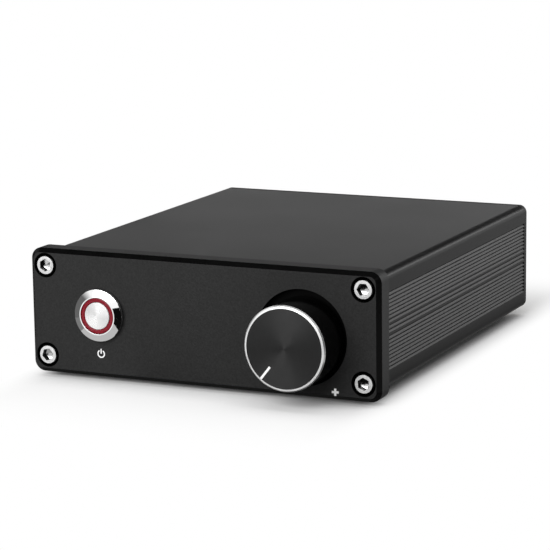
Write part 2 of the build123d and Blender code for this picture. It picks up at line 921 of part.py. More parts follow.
socket_top = board_top + socket_height
with BuildPart() as chip_sockets:
    with BuildSketch(level(board_top)):
        with Locations(*chip_places):
            Rectangle(socket_side, socket_side)
            Rectangle(socket_slot_width, socket_slot_depth, mode=Mode.SUBTRACT)
    extrude(amount=socket_height)
finish("chip_sockets", chip_sockets)

with BuildPart() as amplifier_chips:
    with BuildSketch(level(socket_top)):
        with Locations(*chip_places):
            Rectangle(chip_width, chip_depth)
    extrude(amount=chip_height)
    with BuildSketch(level(socket_top + chip_height)):
        with Locations(*[(x - chip_width / 2, y) for x, y in chip_places]):
            Circle(chip_notch_radius)
    extrude(amount=-chip_notch_depth, mode=Mode.SUBTRACT)
finish("amplifier_chips", amplifier_chips)

with BuildPart() as resistors:
    for x, y in resistor_places:
        with BuildSketch(Plane.YZ.offset(x - resistor_length / 2)):
            with Locations((y, board_top + resistor_radius + resistor_lift)):
                Circle(resistor_radius)
        extrude(amount=resistor_length)
finish("resistors", resistors)

fin_y = sink_y + (sink_thick + fin_depth) / 2 - overlap
fin_xs = [sink_x + fin_pitch * (i - (fin_count - 1) / 2) for i in range(fin_count)]
with BuildPart() as heat_sink:
    with BuildSketch(level(board_top)):
        with Locations((sink_x, sink_y)):
            Rectangle(sink_width, sink_thick)
        with Locations(*[(x, fin_y) for x in fin_xs]):
            Rectangle(fin_thick, fin_depth)
    extrude(amount=sink_height)
finish("heat_sink", heat_sink)

regulator_y = sink_y - sink_thick / 2
regulator_bottom = board_top + regulator_lift
regulator_top = regulator_bottom + regulator_height
with BuildPart() as regulator:
    with BuildSketch(across(regulator_y)):
        with Locations((sink_x, (regulator_bottom + regulator_top) / 2)):
            Rectangle(regulator_width, regulator_height)
    extrude(amount=regulator_thick)
    with BuildSketch(across(regulator_y)):
        with Locations((sink_x, regulator_top + regulator_tab_height / 2)):
            Rectangle(regulator_width, regulator_tab_height)
    extrude(amount=regulator_tab_thick)
    leg_places = [(sink_x + i * regulator_leg_pitch, board_top + regulator_lift / 2) for i in (-1, 0, 1)]
    with BuildSketch(across(regulator_y - regulator_leg_out)):
        with Locations(*leg_places):
            Rectangle(regulator_leg_width, regulator_lift)
    extrude(amount=regulator_leg_thick)
finish("regulator", regulator)

with BuildPart() as choke:
    with BuildSketch(level(board_top)):
        with Locations(choke_place):
            Circle(choke_radius)
    extrude(amount=choke_height)
    with BuildSketch(level(board_top + choke_flange)):
        with Locations(choke_place):
            Circle(choke_radius + overlap)
            Circle(choke_core_radius, mode=Mode.SUBTRACT)
    extrude(amount=choke_height - 2 * choke_flange, mode=Mode.SUBTRACT)
finish("choke", choke)

# === rear connectors ==================================================================
contact_end_y = jack_tip_y - jack_insulator_sunk - contact_sunk
contact_start_y = contact_end_y - contact_length
nose_y = rear_y + jack_nose_proud
shell_start_y = shell_rear_y - jack_shell_depth
shell_root_y = nose_y + jack_root_proud
insulator_end_y = jack_tip_y - jack_insulator_sunk
insulator_start_y = shell_rear_y - jack_insulator_depth

for name, places in {"input": input_jacks, "output": output_jacks}.items():
    with BuildPart() as housing:
        with BuildSketch(level(board_top)):
            with Locations((sum(places) / 2, shell_rear_y - housing_depth / 2)):
                Rectangle(housing_width, housing_depth)
        extrude(amount=housing_height)
        with BuildSketch(across(shell_rear_y)):
            with Locations(*[(x, jack_z) for x in places]):
                Circle(jack_nose_radius)
        extrude(amount=-(nose_y - shell_rear_y))
        with BuildSketch(across(nose_y)):
            with Locations(*[(x, jack_z) for x in places]):
                Circle(jack_bore)
        extrude(amount=nose_y - shell_start_y, mode=Mode.SUBTRACT)
        # the room for each contact's tail
        with BuildSketch(across(shell_start_y)):
            with Locations(*[(x, jack_z) for x in places]):
                Circle(jack_hole)
            with Locations(*[(x, (jack_z + board_top) / 2) for x in places]):
                Rectangle(2 * tail_width, jack_z - board_top)
        extrude(amount=shell_start_y - jack_tail_y + tail_thick, mode=Mode.SUBTRACT)
    finish(f"{name}_jack_housing", housing)
    for side, x in zip(("left", "right"), places):
        jack_shell = turned(
            x,
            jack_z,
            [
                (jack_shell_inner, shell_start_y),
                (jack_root_radius, shell_start_y),
                (jack_root_radius, shell_root_y),
                (jack_shell_outer, shell_root_y),
                (jack_shell_outer, jack_tip_y - jack_shell_edge),
                (jack_shell_outer - jack_shell_edge, jack_tip_y),
                (jack_shell_inner, jack_tip_y),
            ],
        )
        finish(f"{name}_{side}_shell", jack_shell)

insulator_sides = {
    "white_insulators": (input_jacks[0], output_jacks[0]),
    "red_insulators": (input_jacks[1], output_jacks[1]),
}
for name, places in insulator_sides.items():
    with BuildPart() as insulators:
        with BuildSketch(across(insulator_start_y)):
            with Locations(*[(x, jack_z) for x in places]):
                Circle(jack_insulator_radius)
                Circle(jack_hole, mode=Mode.SUBTRACT)
        extrude(amount=-(insulator_end_y - insulator_start_y))
    finish(name, insulators)

with BuildPart() as jack_contacts:
    for x in input_jacks + output_jacks:
        with BuildSketch(across(contact_start_y)):
            with Locations((x, jack_z)):
                Circle(contact_outer)
        extrude(amount=-contact_length)
        with BuildSketch(across(contact_start_y)):
            with Locations((x, jack_z)):
                Circle(contact_stem_radius)
        extrude(amount=contact_start_y - jack_tail_y)
        with BuildSketch(across(jack_tail_y)):
            with Locations((x, (jack_z + board_bottom - pin_reach) / 2)):
                Rectangle(tail_width, jack_z - board_bottom + pin_reach)
        extrude(amount=tail_thick / 2, both=True)
        with BuildSketch(across(contact_end_y)):
            with Locations((x, jack_z)):
                Circle(contact_inner)
        extrude(amount=contact_length - contact_floor, mode=Mode.SUBTRACT)
finish("jack_contacts", jack_contacts)

with BuildPart() as supply_body:
    with BuildSketch(level(board_top)):
        with Locations((supply_x, shell_rear_y - supply_length / 2)):
            Rectangle(supply_width, supply_length)
    extrude(amount=supply_height)
    with BuildSketch(across(shell_rear_y)):
        with Locations((supply_x, supply_z)):
            Circle(supply_nose_radius)
    extrude(amount=-rear_thick)
    with BuildSketch(across(rear_y)):
        with Locations((supply_x, supply_z)):
            Circle(supply_bore)
    extrude(amount=supply_depth, mode=Mode.SUBTRACT)
finish("supply_body", supply_body)

supply_floor_y = rear_y - supply_depth
supply_tip_y = rear_y - supply_pin_sunk
supply_pin = turned(
    supply_x,
    supply_z,
    [
        (0, supply_floor_y),
        (supply_pin_radius, supply_floor_y),
        (supply_pin_radius, supply_tip_y - supply_pin_edge),
        (supply_pin_radius - supply_pin_edge, supply_tip_y),
        (0, supply_tip_y),
    ],
)
finish("supply_pin", supply_pin)

with BuildPart() as supply_contact:
    with BuildSketch(level(supply_z - supply_bore + supply_contact_lift)):
        with Locations((supply_x, supply_floor_y + supply_contact_inset + supply_contact_length / 2)):
            Rectangle(supply_contact_width, supply_contact_length)
    extrude(amount=supply_contact_thick)
finish("supply_contact", supply_contact)

ground_flange_y = rear_y + ground_flange_thick
ground_washer_y = ground_flange_y + ground_washer_gap
thumb_y = ground_washer_y + ground_washer_thick + ground_washer_gap
stud_tip_y = jack_tip_y - ground_stud_sunk
ground_post = turned(
    ground_x,
    jack_z,
    [
        (0, shell_rear_y - ground_stud_depth),
        (ground_stud_radius, shell_rear_y - ground_stud_depth),
        (ground_stud_radius, rear_y),
        (ground_flange_radius, rear_y),
        (ground_flange_radius, ground_flange_y),
        (ground_stud_radius, ground_flange_y),
        (ground_stud_radius, stud_tip_y - ground_stud_edge),
        (ground_stud_radius - ground_stud_edge, stud_tip_y),
        (0, stud_tip_y),
    ],
)
finish("ground_post", ground_post)

ground_washer = tube(
    ground_x,
    jack_z,
    ground_flange_radius - ground_washer_inset,
    ground_stud_radius + 2 * running_gap,
    ground_washer_y,
    ground_washer_y + ground_washer_thick,
)
finish("ground_washer", ground_washer)

with BuildPart() as ground_thumb_nut:
    thumb_end_y = thumb_y + thumb_length
    bore = ground_stud_radius + running_gap
    with BuildSketch(turning_plane(ground_x, jack_z)):
        with BuildLine():
            Polyline(
                (bore, thumb_y),
                (thumb_radius - thumb_chamfer, thumb_y),
                (thumb_radius, thumb_y + thumb_chamfer),
                (thumb_radius, thumb_end_y - thumb_chamfer),
                (thumb_radius - thumb_chamfer, thumb_end_y),
                (bore, thumb_end_y),
                close=True,
            )
        make_face()
    revolve(axis=turning_axis(ground_x, jack_z))
    with BuildSketch(across(thumb_y)):
        with Locations((ground_x, jack_z)):
            with PolarLocations(thumb_radius, thumb_ribs):
                Circle(thumb_rib_depth)
    extrude(amount=-thumb_length, mode=Mode.SUBTRACT)
finish("ground_thumb_nut", ground_thumb_nut)

with BuildPart() as ground_tag:
    with BuildSketch(across(shell_rear_y)):
        with Locations((ground_x, jack_z)):
            Circle(tag_radius)
        with Locations((ground_x, jack_z + tag_length / 2)):
            Rectangle(tag_width, tag_length)
        with Locations((ground_x, jack_z)):
            Circle(ground_stud_radius + running_gap, mode=Mode.SUBTRACT)
    extrude(amount=tag_thick)
finish("ground_tag", ground_tag)

with BuildPart() as ground_nut:
    with BuildSketch(across(shell_rear_y - tag_thick)):
        with Locations((ground_x, jack_z)):
            RegularPolygon(ground_nut_flats / 2, 6, major_radius=False)
            Circle(ground_stud_radius + running_gap, mode=Mode.SUBTRACT)
    extrude(amount=ground_nut_height)
finish("ground_nut", ground_nut)

ground_lead_z = jack_z + ground_lead_rise
ground_lead_y = shell_rear_y - ground_lead_run
ground_lead = bent_lead(
    [
        (ground_x, shell_rear_y - tag_thick, ground_lead_z),
        (ground_x, ground_lead_y, ground_lead_z),
        (ground_x, ground_lead_y, board_top),
    ]
)
finish("ground_lead", ground_lead)
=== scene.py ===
"""The looks of the phono preamp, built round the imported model.

Lengths are in millimetres, in the model's own frame: the front panel faces -Y, +Z is up and
the origin is on the table, below the middle of the whole object. The floor, the cards, the
lamps and the camera are placed in metres.
"""

import math

import bmesh
import bpy
from mathutils import Matrix, Vector


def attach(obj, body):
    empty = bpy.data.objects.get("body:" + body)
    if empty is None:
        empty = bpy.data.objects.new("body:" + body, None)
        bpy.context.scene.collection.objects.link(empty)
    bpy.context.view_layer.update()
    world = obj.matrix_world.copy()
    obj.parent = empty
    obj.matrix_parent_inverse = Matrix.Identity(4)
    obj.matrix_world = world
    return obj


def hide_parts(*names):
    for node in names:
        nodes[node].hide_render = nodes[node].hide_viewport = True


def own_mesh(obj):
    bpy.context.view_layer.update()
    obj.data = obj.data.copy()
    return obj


MM = 0.001

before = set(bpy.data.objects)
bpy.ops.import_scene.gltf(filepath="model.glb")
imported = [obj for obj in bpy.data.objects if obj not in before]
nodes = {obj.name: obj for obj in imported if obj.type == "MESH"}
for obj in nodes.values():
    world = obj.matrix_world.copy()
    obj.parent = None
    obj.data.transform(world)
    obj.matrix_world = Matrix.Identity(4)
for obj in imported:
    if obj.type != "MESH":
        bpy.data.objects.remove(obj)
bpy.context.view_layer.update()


# --- shader helpers -------------------------------------------------------------------
NOISE_RANGE = (0.3, 0.7)  # where most values of a noise texture lie
FINE_DETAIL = 3.0
FINE_SHARE = 0.7  # of the fine noise in a colour, beside the broad one
SPUN_PATCH = 2.5


def add_node(tree, kind, inputs=None, **settings):
    """Adds a shader node. An input given as a socket is linked, anything else is set."""
    made = tree.nodes.new("ShaderNode" + kind)
    for name, value in settings.items():
        setattr(made, name, value)
    for name, value in (inputs or {}).items():
        if isinstance(value, bpy.types.NodeSocket):
            tree.links.new(value, made.inputs[name])
        else:
            made.inputs[name].default_value = value
    return made


class Surface:
    """A procedural material. Its coordinates are the model's frame, and move with the piece."""

    def __init__(self, name, **constants):
        self.material = bpy.data.materials.new(name)
        self.material.use_nodes = True
        self.tree = self.material.node_tree
        self.tree.nodes.clear()
        self.place = self.add("TexCoord").outputs["Object"]
        sockets = {key.replace("_", " "): value for key, value in constants.items()}
        self.shader = self.add("BsdfPrincipled", sockets)
        self.add("OutputMaterial", {"Surface": self.shader.outputs["BSDF"]})

    def add(self, kind, inputs=None, **settings):
        return add_node(self.tree, kind, inputs, **settings)

    def math(self, operation, first, second=0.0, third=0.0):
        made = self.add("Math", {0: first, 1: second, 2: third}, operation=operation)
        return made.outputs[0]

    def noise(self, size, detail=2.0):
        """Noise from 0 to 1, its blotches about `size` mm across."""
        scale = 1 / (size * MM)
        made = self.add("TexNoise", {"Vector": self.place, "Scale": scale, "Detail": detail})
        return made.outputs["Fac"]

    def spread(self, value, low, high):
        """Spreads the usual values of a noise over a range."""
        start, end = NOISE_RANGE
        made = self.add(
            "MapRange",
            {"Value": value, "From Min": start, "From Max": end, "To Min": low, "To Max": high},
        )
        return made.outputs["Result"]

    def blend(self, share, first, second):
        made = self.add("Mix", {0: share, 6: first, 7: second}, data_type="RGBA")
        return made.outputs[2]

    def radius(self, x, z):
        """Distance from an axis along Y, in mm."""
        away = self.add("VectorMath", {0: self.place, 1: (x * MM, 0, z * MM)}, operation="SUBTRACT")
        flat = self.add("VectorMath", {0: away.outputs[0], 1: (1, 0, 1)}, operation="MULTIPLY")
        made = self.add("VectorMath", {0: flat.outputs[0]}, operation="LENGTH")
        return self.math("DIVIDE", made.outputs["Value"], MM)

    def link(self, **sockets):
        for name, value in sockets.items():
            self.tree.links.new(value, self.shader.inputs[name.replace("_", " ")])

    def relief(self, height, depth):
        """Bumps `depth` mm high."""
        made = self.add("Bump", {"Height": height, "Distance": depth * MM, "Strength": 1.0})
        self.link(Normal=made.outputs["Normal"])


def grey(value, warmth=0.0):
    return (value * (1 + warmth), value, value * (1 - warmth), 1.0)


def grained(name, dark, light, rough, grain, depth, patch=6.0, **constants):
    """A finish with fine grain in its relief and colour, and broad patches in its gloss."""
    made = Surface(name, **constants)
    fine = made.noise(grain, FINE_DETAIL)
    broad = made.noise(patch)
    rest = made.math("MULTIPLY", broad, 1 - FINE_SHARE)
    mixed = made.math("MULTIPLY_ADD", fine, FINE_SHARE, rest)
    made.link(
        Base_Color=made.blend(made.spread(mixed, 0.0, 1.0), dark, light),
        Roughness=made.spread(broad, rough[0], rough[1]),
    )
    made.relief(fine, depth)
    return made


def spun(name, dark, light, rough, x, z, pitch, depth, **constants):
    """Metal turned on a lathe: fine rings about an axis along Y, and the streaked gloss they give."""
    made = Surface(name, **constants)
    radius = made.radius(x, z)
    wave = {"W": radius, "Scale": 1 / pitch, "Detail": FINE_DETAIL}
    rings = made.add("TexNoise", wave, noise_dimensions="1D").outputs["Fac"]
    broad = made.noise(SPUN_PATCH)
    made.link(
        Base_Color=made.blend(made.spread(rings, 0.0, 1.0), dark, light),
        Roughness=made.spread(broad, rough[0], rough[1]),
        Tangent=made.add("Tangent", direction_type="RADIAL", axis="Y").outputs[0],
    )
    made.relief(rings, depth)
    return made


# --- finishes -------------------------------------------------------------------------
KNOB_AXIS = (28.8, 16.1)
POCKET_AXIS = (28.4, 16.6)
BUTTON_AXIS = (-29.28, 18.05)

finishes = {
    "case_black": grained(
        "case_anodised", grey(0.006), grey(0.011), (0.3, 0.32), 0.28, 0.006, 30.0, Specular_IOR_Level=0.1
    ),
    "panel_black": grained(
        "panel_anodised", grey(0.009), grey(0.021), (0.5, 0.53), 0.4, 0.03, 25.0, Specular_IOR_Level=0.26
    ),
    "knob_black": grained(
        "knob_anodised", grey(0.0008), grey(0.0012), (0.16, 0.2), 0.3, 0.001, Specular_IOR_Level=0.1
    ),
    "bright_steel": grained(
        "bright_zinc", grey(0.6), grey(0.8), (0.2, 0.34), 0.25, 0.006, 1.2, Metallic=1.0
    ),
    "polished_steel": grained(
        "polished_steel", grey(0.92), grey(0.96), (0.04, 0.055), 0.4, 0.0006, 3.0, Metallic=1.0
    ),
    "satin_steel": grained(
        "satin_steel", grey(0.7), grey(0.82), (0.26, 0.34), 0.2, 0.004, 3.0, Metallic=1.0
    ),
    "plated_steel": grained(
        "nickel_plate", grey(0.62, 0.04), grey(0.74, 0.04), (0.18, 0.3), 0.3, 0.004, 2.0, Metallic=1.0
    ),
    "black_steel": grained(
        "black_oxide", grey(0.02), grey(0.035), (0.3, 0.42), 0.2, 0.006, 1.5, Specular_IOR_Level=0.6
    ),
    "tin_plate": grained(
        "tin_plate", grey(0.5, 0.02), grey(0.68, 0.02), (0.3, 0.44), 0.3, 0.006, 1.5, Metallic=1.0
    ),
    "gold_plate": grained(
        "gold_plate",
        (0.72, 0.44, 0.13, 1),
        (0.86, 0.56, 0.19, 1),
        (0.14, 0.24),
        0.3,
        0.003,
        2.0,
        Metallic=1.0,
    ),
    "foot_rubber": grained(
        "black_rubber", grey(0.012), grey(0.02), (0.68, 0.82), 0.25, 0.02, 3.0, Specular_IOR_Level=0.35
    ),
    "white_paint": grained("white_paint", grey(0.9), grey(0.96), (0.4, 0.5), 0.12, 0.004, 1.5),
    "red_lens": grained(
        "red_lens",
        (0.22, 0.002, 0.012, 1),
        (0.3, 0.003, 0.018, 1),
        (0.12, 0.16),
        0.3,
        0.002,
        1.5,
        Specular_IOR_Level=0.25,
        Subsurface_Weight=0.25,
        Subsurface_Radius=(1.0, 0.06, 0.08),
        Subsurface_Scale=0.5 * MM,
        Transmission_Weight=0.25,
        IOR=1.5,
    ),
    "black_plastic": grained(
        "black_plastic", grey(0.014), grey(0.022), (0.34, 0.46), 0.25, 0.008, 4.0
    ),
    "natural_plastic": grained(
        "natural_nylon",
        (0.72, 0.68, 0.56, 1),
        (0.8, 0.76, 0.64, 1),
        (0.34, 0.44),
        0.25,
        0.006,
        3.0,
        Subsurface_Weight=0.25,
        Subsurface_Radius=(1.0, 0.8, 0.5),
        Subsurface_Scale=0.6 * MM,
    ),
    "white_plastic": grained(
        "white_plastic", grey(0.74), grey(0.82), (0.26, 0.34), 0.3, 0.004, 3.0
    ),
    "red_plastic": grained(
        "red_plastic", (0.46, 0.01, 0.008, 1), (0.56, 0.016, 0.012, 1), (0.26, 0.34), 0.3, 0.004, 3.0
    ),
    "board_green": grained(
        "board_green", (0.006, 0.07, 0.022, 1), (0.012, 0.11, 0.036, 1), (0.2, 0.32), 0.8, 0.01, 5.0
    ),
    "capacitor_sleeve": grained(
        "capacitor_sleeve", grey(0.014), grey(0.024), (0.22, 0.32), 0.5, 0.006, 3.0
    ),
    "resistor_blue": grained(
        "resistor_blue",
        (0.05, 0.2, 0.42, 1),
        (0.08, 0.28, 0.52, 1),
        (0.24, 0.34),
        0.4,
        0.006,
        2.0,
    ),
}
knob_face_finish = spun(
    "knob_spun_face",
    grey(0.012),
    grey(0.024),
    (0.3, 0.34),
    *KNOB_AXIS,
    0.09,
    0.0015,
    Specular_IOR_Level=0.5,
    Anisotropic=0.75,
    Anisotropic_Rotation=0.25,
)
knob_cut_finish = spun(
    "knob_cut_edge",
    grey(0.9),
    grey(0.96),
    (0.3, 0.36),
    *KNOB_AXIS,
    0.06,
    0.0004,
    Metallic=0.35,
    Anisotropic=0.8,
    Anisotropic_Rotation=0.25,
)
knob_rim_finish = spun(
    "knob_cut_rim",
    grey(0.6),
    grey(0.7),
    (0.26, 0.32),
    *KNOB_AXIS,
    0.06,
    0.0004,
    Metallic=0.85,
    Anisotropic=0.8,
    Anisotropic_Rotation=0.25,
)
# painted shade: a near-black copy of the panel finish with almost no reflection, for the front panel's
# chamfer so that it shows as a dark band
chamfer_shade_finish = grained(
    "panel_chamfer_painted_shade", grey(0.002), grey(0.004), (0.14, 0.18), 0.4, 0.001, Specular_IOR_Level=0.06
)
# painted shade: a near-black copy of the panel finish for the walls and floors of the front holes and
# the knob's pocket, darker than the panel where shade falls
recess_shade_finish = grained(
    "panel_recess_painted_shade", grey(0.0008), grey(0.0014), (0.4, 0.5), 0.4, 0.004, Specular_IOR_Level=0.05
)
head_finish = grained(
    "screw_head", grey(0.64), grey(0.8), (0.3, 0.4), 0.25, 0.002, 1.2, Metallic=0.3
)
# painted shade: near-black steel for the front screws' socket walls, the outer edge of each head and the
# shank, where shade falls; the socket floor keeps plain steel
socket_shade_finish = grained(
    "screw_socket", grey(0.03), grey(0.06), (0.2, 0.3), 0.25, 0.003, 1.2, Metallic=1.0
)
socket_floor_finish = grained(
    "screw_socket_floor", grey(0.5), grey(0.62), (0.12, 0.16), 0.25, 0.001, 1.2, Metallic=1.0
)
cap_finish = spun(
    "cap_brushed",
    grey(0.9),
    grey(0.98),
    (0.26, 0.3),
    *BUTTON_AXIS,
    0.07,
    0.0012,
    Metallic=0.7,
    Anisotropic=0.7,
    Anisotropic_Rotation=0.25,
)

for node in nodes.values():
    for material_slot in node.material_slots:
        material_slot.material = finishes[material_slot.material.name].material


# --- mesh helpers ---------------------------------------------------------------------
EDGE_STEPS = 4
CORNER_STEPS = 13
SHARP_ANGLE = math.radians(32)
NORMAL_WEIGHT = 80
SMALL_SIDES = 96  # round screws and holes
ON_AXIS = 1e-6
FLUTE_SHAPE = 0.7  # power of a flute's cosine: under 1 gives it steeper sides


def rounded(outline, closed):
    """The points of an outline of (radius, depth, edge) corners, each turned into an arc.

    Gives (radius, depth, segment) for each point; segment i runs from corner i to the next.
    """
    points = []
    last = len(outline) - 1
    for i, (radius, depth, edge) in enumerate(outline):
        corner = Vector((radius, depth))
        if edge == 0 or (not closed and i in (0, last)):
            points.append((radius, depth, i))
            continue
        before = (Vector(outline[i - 1][:2]) - corner).normalized()
        after = (Vector(outline[(i + 1) % len(outline)][:2]) - corner).normalized()
        half = before.angle(after) / 2
        centre = corner + (before + after).normalized() * edge / math.sin(half)
        start = corner + before * edge / math.tan(half) - centre
        end = corner + after * edge / math.tan(half) - centre
        for step in range(EDGE_STEPS + 1):
            point = centre + start.slerp(end, step / EDGE_STEPS).normalized() * edge
            points.append((point.x, point.y, i if step == EDGE_STEPS else i - 1))
    return points


def keep(name, mesh):
    made = bpy.data.objects.new(name, mesh)
    bpy.context.scene.collection.objects.link(made)
    return made


def shade(built, mesh):
    """Writes a bmesh to a mesh, smooth apart from its sharp edges."""
    for face in built.faces:
        face.smooth = True
    for edge in built.edges:
        edge.smooth = len(edge.link_faces) == 2 and edge.calc_face_angle() < SHARP_ANGLE
    built.to_mesh(mesh)
    built.free()


def to_object(name, built, materials):
    bmesh.ops.recalc_face_normals(built, faces=built.faces)
    mesh = bpy.data.meshes.new(name)
    shade(built, mesh)
    for material in materials:
        mesh.materials.append(material)
    return keep(name, mesh)


def weight_normals(piece):
    shading = piece.modifiers.new("shading", "WEIGHTED_NORMAL")
    shading.keep_sharp = True
    shading.weight = NORMAL_WEIGHT


def turned(name, axis, outline, materials, closed=True, sides=192, turn=0.0, ribs=None):
    """A piece turned about an axis along Y. materials holds one per outline segment, or just one.

    With few sides it is a prism. ribs gives a number of flutes, their depth and the least
    radius of the points that have them.
    """
    x, z = axis
    points = rounded(outline, closed)
    built = bmesh.new()
    rings = []
    for radius, depth, _ in points:
        if radius < ON_AXIS:
            rings.append([built.verts.new((x * MM, depth * MM, z * MM))] * sides)
            continue
        ring = []
        for side in range(sides):
            angle = turn + 2 * math.pi * side / sides
            reach = radius
            if ribs and radius > ribs[2]:
                reach -= ribs[1] * max(0.0, math.cos(ribs[0] * angle)) ** FLUTE_SHAPE
            place = (x + reach * math.cos(angle), depth, z + reach * math.sin(angle))
            ring.append(built.verts.new(Vector(place) * MM))
        rings.append(ring)
    slots = list(dict.fromkeys(materials))
    spans = len(points) if closed else len(points) - 1
    for i in range(spans):
        first, second = rings[i], rings[(i + 1) % len(rings)]
        segment = points[i][2] % len(outline)
        for side in range(sides):
            after = (side + 1) % sides
            corners = [first[side], first[after], second[after], second[side]]
            face = built.faces.new(list(dict.fromkeys(corners)))
            face.material_index = slots.index(materials[segment % len(materials)])
    return to_object(name, built, slots)


def plate(name, width, height, corner, middle, outline, materials):
    """A plate facing forward with rounded corners, its middle at a height.

    outline holds (outset, depth, edge) corners from its front face to its back face, where
    outset is the distance outside the plate's full outline. Its ends only give directions.
    """
    points = rounded(outline, False)[1:-1]
    built = bmesh.new()
    rings = []
    for outset, depth, _ in points:
        radius = corner + outset
        ring = []
        for step in range(4 * CORNER_STEPS):
            quarter, part = divmod(step, CORNER_STEPS)
            angle = math.pi / 2 * (quarter + part / (CORNER_STEPS - 1))
            side = 1 if quarter in (0, 3) else -1
            upper = 1 if quarter in (0, 1) else -1
            x = side * (width / 2 - corner) + radius * math.cos(angle)
            z = middle + upper * (height / 2 - corner) + radius * math.sin(angle)
            ring.append(built.verts.new(Vector((x, depth, z)) * MM))
        rings.append(ring)
    slots = list(dict.fromkeys(materials))
    for i, (first, second) in enumerate(zip(rings, rings[1:])):
        for side in range(len(first)):
            after = (side + 1) % len(first)
            face = built.faces.new([first[side], first[after], second[after], second[side]])
            face.material_index = slots.index(materials[points[i][2]])
    for ring, material in ((rings[0], materials[0]), (rings[-1], materials[-1])):
        built.faces.new(ring).material_index = slots.index(material)
    return to_object(name, built, slots)


def merged(name, pieces):
    """One piece made of several that have the same materials."""
    built = bmesh.new()
    for piece in pieces:
        built.from_mesh(piece.data)
    mesh = bpy.data.meshes.new(name)
    built.to_mesh(mesh)
    built.free()
    for material in pieces[0].data.materials:
        mesh.materials.append(material)
    for piece in pieces:
        bpy.data.objects.remove(piece)
    return keep(name, mesh)


def copied(name, node):
    """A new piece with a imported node's own mesh, to be worked on."""
    made = keep(name, nodes[node].data.copy())
    made.matrix_world = nodes[node].matrix_world.copy()
    return made


def block(name, corners, depth_vector):
    """A closed prism from a flat outline, used as a cutter or a mark."""
    built = bmesh.new()
    base = [built.verts.new(Vector(corner) * MM) for corner in corners]
    face = built.faces.new(base)
    grown = bmesh.ops.extrude_face_region(built, geom=[face])
    moved = [item for item in grown["geom"] if isinstance(item, bmesh.types.BMVert)]
    bmesh.ops.translate(built, vec=Vector(depth_vector) * MM, verts=moved)
    return to_object(name, built, [])


def cut(piece, *cutters):
    """Cuts closed shapes out of a piece, for good."""
    for cutter in cutters:
        step = piece.modifiers.new("cut", "BOOLEAN")
        step.object = cutter
        step.solver = "EXACT"
        step.material_mode = "TRANSFER"
    bpy.context.view_layer.update()
    graph = bpy.context.evaluated_depsgraph_get()
    mesh = bpy.data.meshes.new_from_object(piece.evaluated_get(graph))
    built = bmesh.new()
    built.from_mesh(mesh)
    shade(built, mesh)
    piece.modifiers.clear()
    piece.data = mesh
    for cutter in cutters:
        bpy.data.objects.remove(cutter)


def fit(piece, body, slot, *replaced):
    """Puts a finished piece on its body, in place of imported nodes."""
    weight_normals(piece)
    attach(piece, body)
    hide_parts(*replaced)


# --- front panel and its screws -------------------------------------------------------
PANEL_FACE = -57.0
PANEL_BACK = -51.0
PANEL_MIDDLE = 17.95
CASE_MIDDLE = 18.1
PANEL_SIZE = (100, 33.5)
PANEL_CORNER = 3.0
PANEL_CHAMFER = 1.15
PLATE_INSET = 2.0  # of the two ends of a plate's profile, which only give directions
RIM = 0.12  # the edge break of each hole
BEYOND = 1.0  # how far a cutter runs past a face
SCREW_X = 45.4
SCREW_RISE = 12.1
SCREW_HOLE = 1.65
THREAD_RADIUS = 1.5
HEAD_RADIUS = 2.65
HEAD_FACE = -57.1
HEAD_SEAT = -54.1
THREAD_END = -44.1
COUNTERBORE = 3.2
SOCKET_RADIUS = 1.732  # of the corners of a hexagon 3 mm across flats
SOCKET_FLOOR = -55.15
SOCKET_TIP = -54.4
POCKET_RADIUS = 12.45
POCKET_FLOOR = -55.0
BUSHING_HOLE = 3.6
BARREL_HOLE = 6.1
SCREW_PLACES = {
    (sx * SCREW_X, CASE_MIDDLE + sz * SCREW_RISE): math.radians(turn)
    for (sx, sz), turn in {(-1, -1): 12, (-1, 1): 30, (1, -1): 35, (1, 1): 0}.items()
}


def drill(axis, radius, face, floor, through, material):
    """A cutter for a hole from a face: its radius down to a floor, then a smaller one onward."""
    way = 1 if floor > face else -1
    outline = [
        (0, face - way * BEYOND, 0),
        (radius + RIM, face - way * BEYOND, 0),
        (radius + RIM, face, 0),
        (radius, face + way * RIM, 0),
        (radius, floor, 0),
    ]
    if through:
        outline += [(through[0], floor, 0), (through[0], through[1], 0), (0, through[1], 0)]
    else:
        outline += [(0, floor, 0)]
    return turned("drill", axis, outline, [material], closed=False, sides=SMALL_SIDES)


def socket_screws(name, outline, materials, socket, socket_materials):
    """Four screws in one piece. Each hexagon socket is turned its own way."""
    screws = []
    for place, turn in SCREW_PLACES.items():
        screw = turned("head", place, outline, materials, closed=False, sides=SMALL_SIDES)
        hexagon = turned(
            "socket", place, socket, socket_materials, closed=False, sides=6, turn=turn
        )
        cut(screw, hexagon)
        screws.append(screw)
    return merged(name, screws)


panel_finish = finishes["panel_black"].material
front = plate(
    "front_plate",
    *PANEL_SIZE,
    PANEL_CORNER,
    PANEL_MIDDLE,
    [
        (-PLATE_INSET, PANEL_FACE, 0),
        (-PANEL_CHAMFER, PANEL_FACE, 0.06),
        (0, PANEL_FACE + PANEL_CHAMFER, 0.08),
        (0, PANEL_BACK, 0.15),
        (-PLATE_INSET, PANEL_BACK, 0),
    ],
    # the chamfer takes the painted-shade finish
    [panel_finish, chamfer_shade_finish.material, panel_finish, panel_finish],
)
# the front holes and the knob's pocket take the painted-shade finish
recess_shade = recess_shade_finish.material
behind = PANEL_BACK + BEYOND
drills = [
    drill(place, COUNTERBORE, PANEL_FACE, HEAD_SEAT, (SCREW_HOLE, behind), recess_shade)
    for place in SCREW_PLACES
]
drills.append(drill(POCKET_AXIS, POCKET_RADIUS, PANEL_FACE, POCKET_FLOOR, None, recess_shade))
drills.append(drill(KNOB_AXIS, BUSHING_HOLE, PANEL_FACE, behind, None, recess_shade))
drills.append(drill(BUTTON_AXIS, BARREL_HOLE, PANEL_FACE, behind, None, recess_shade))
cut(front, *drills)
fit(front, "case", "panel_black", "front_panel")

